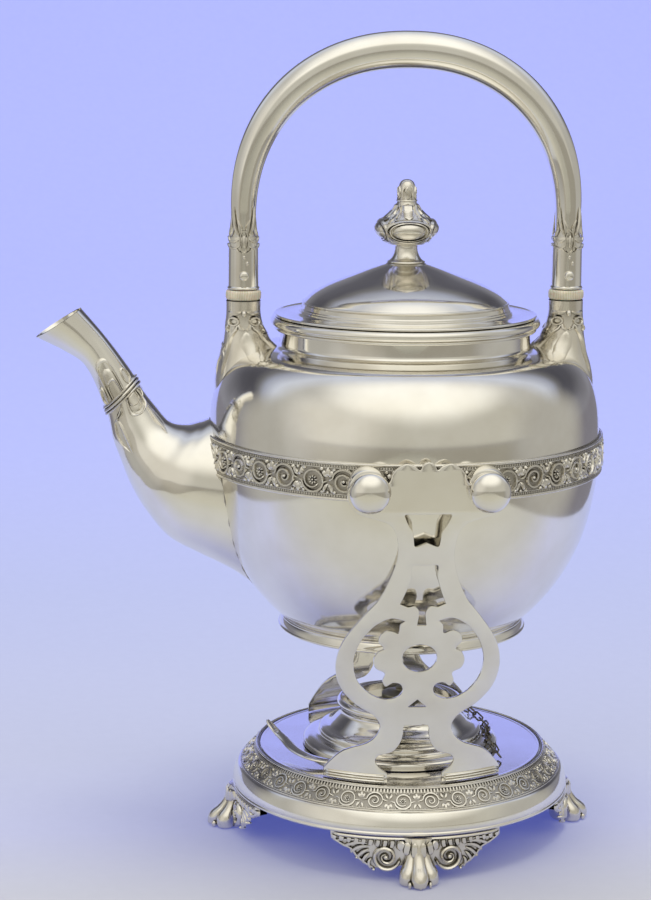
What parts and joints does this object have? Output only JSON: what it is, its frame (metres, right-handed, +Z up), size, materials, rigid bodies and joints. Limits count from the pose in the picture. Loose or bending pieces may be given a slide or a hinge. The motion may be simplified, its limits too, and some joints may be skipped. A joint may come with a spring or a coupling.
{
  "type": "tea kettle on stand",
  "caption": "Round-bellied tilting tea kettle with a fixed overhead handle and hinged lid, on a pierced stand with paw feet over a spirit lamp.",
  "frame": {"origin": "middle of the whole piece's box, on the surface that the paws stand on", "axes": "+Z up, -X towards the spout's tip, -Y towards the front upright, +Y towards the lid's hinge"},
  "size_m": [0.2402, 0.2006, 0.3433],
  "materials": {
    "silver": "polished silver plate, warm grey, lightly tarnished",
    "oxidised_silver": "die-rolled silver with darkened recesses",
    "ivory": "smooth cream bone or ivory",
    "cotton": "braided cotton wick"
  },
  "bodies": {
    "stand": {"base_plate": "silver", "base_band": "oxidised_silver", "base_rim": "silver", "foot_front": "silver", "foot_right": "silver", "foot_back": "silver", "foot_left": "silver", "upright_front": "silver", "upright_rear": "silver", "upright_front_step_a": "silver", "upright_front_step_b": "silver", "upright_rear_step_a": "silver", "upright_rear_step_b": "silver"},
    "kettle": {"kettle_body": "silver", "kettle_foot": "silver", "belly_band": "oxidised_silver", "mouth_rim": "silver", "spout": "silver", "spout_strap": "silver", "handle_socket_left": "silver", "handle_socket_right": "silver", "insulator_left": "ivory", "insulator_right": "ivory", "ferrule_left": "silver", "ferrule_right": "silver", "rivet_left": "silver", "rivet_right": "silver", "handle_arch": "silver", "pivot_pin_front_left": "silver", "pivot_pin_front_right": "silver", "pivot_pin_rear_left": "silver", "pivot_pin_rear_right": "silver", "hinge_bracket": "silver", "hinge_pin": "silver"},
    "lid": {"lid": "silver", "lid_finial": "silver", "hinge_tongue": "silver"},
    "lamp": {"lamp_body": "silver", "lamp_rim": "silver", "lamp_handle": "silver", "burner_tube": "oxidised_silver", "wick": "cotton", "chain_link_01": "silver", "chain_link_02": "silver", "chain_link_03": "silver", "chain_link_04": "silver", "chain_link_05": "silver", "chain_link_06": "silver", "chain_link_07": "silver", "chain_link_08": "silver", "chain_link_09": "silver", "chain_link_10": "silver", "chain_link_11": "silver", "chain_link_12": "silver", "chain_link_13": "silver"},
    "cap": {"burner_cap": "oxidised_silver"}
  },
  "joints": [
    {"name": "kettle_tilt", "type": "hinge", "parent": "stand", "child": "kettle", "pos_m": [0.012, 0, 0.167], "axis": [0, -1, 0], "range_deg": [0, 45]},
    {"name": "lid_hinge", "type": "hinge", "parent": "kettle", "child": "lid", "pos_m": [0.0354, 0.0594, 0.2265], "axis": [-1, 0, 0], "range_deg": [0, 100]},
    {"name": "lamp_slide", "type": "slide", "parent": "stand", "child": "lamp", "axis": [-1, 0, 0], "range_m": [0, 0.045]},
    {"name": "cap_lift", "type": "slide", "parent": "lamp", "child": "cap", "axis": [0, 0, 1], "range_m": [0, 0.018]}
  ]
}
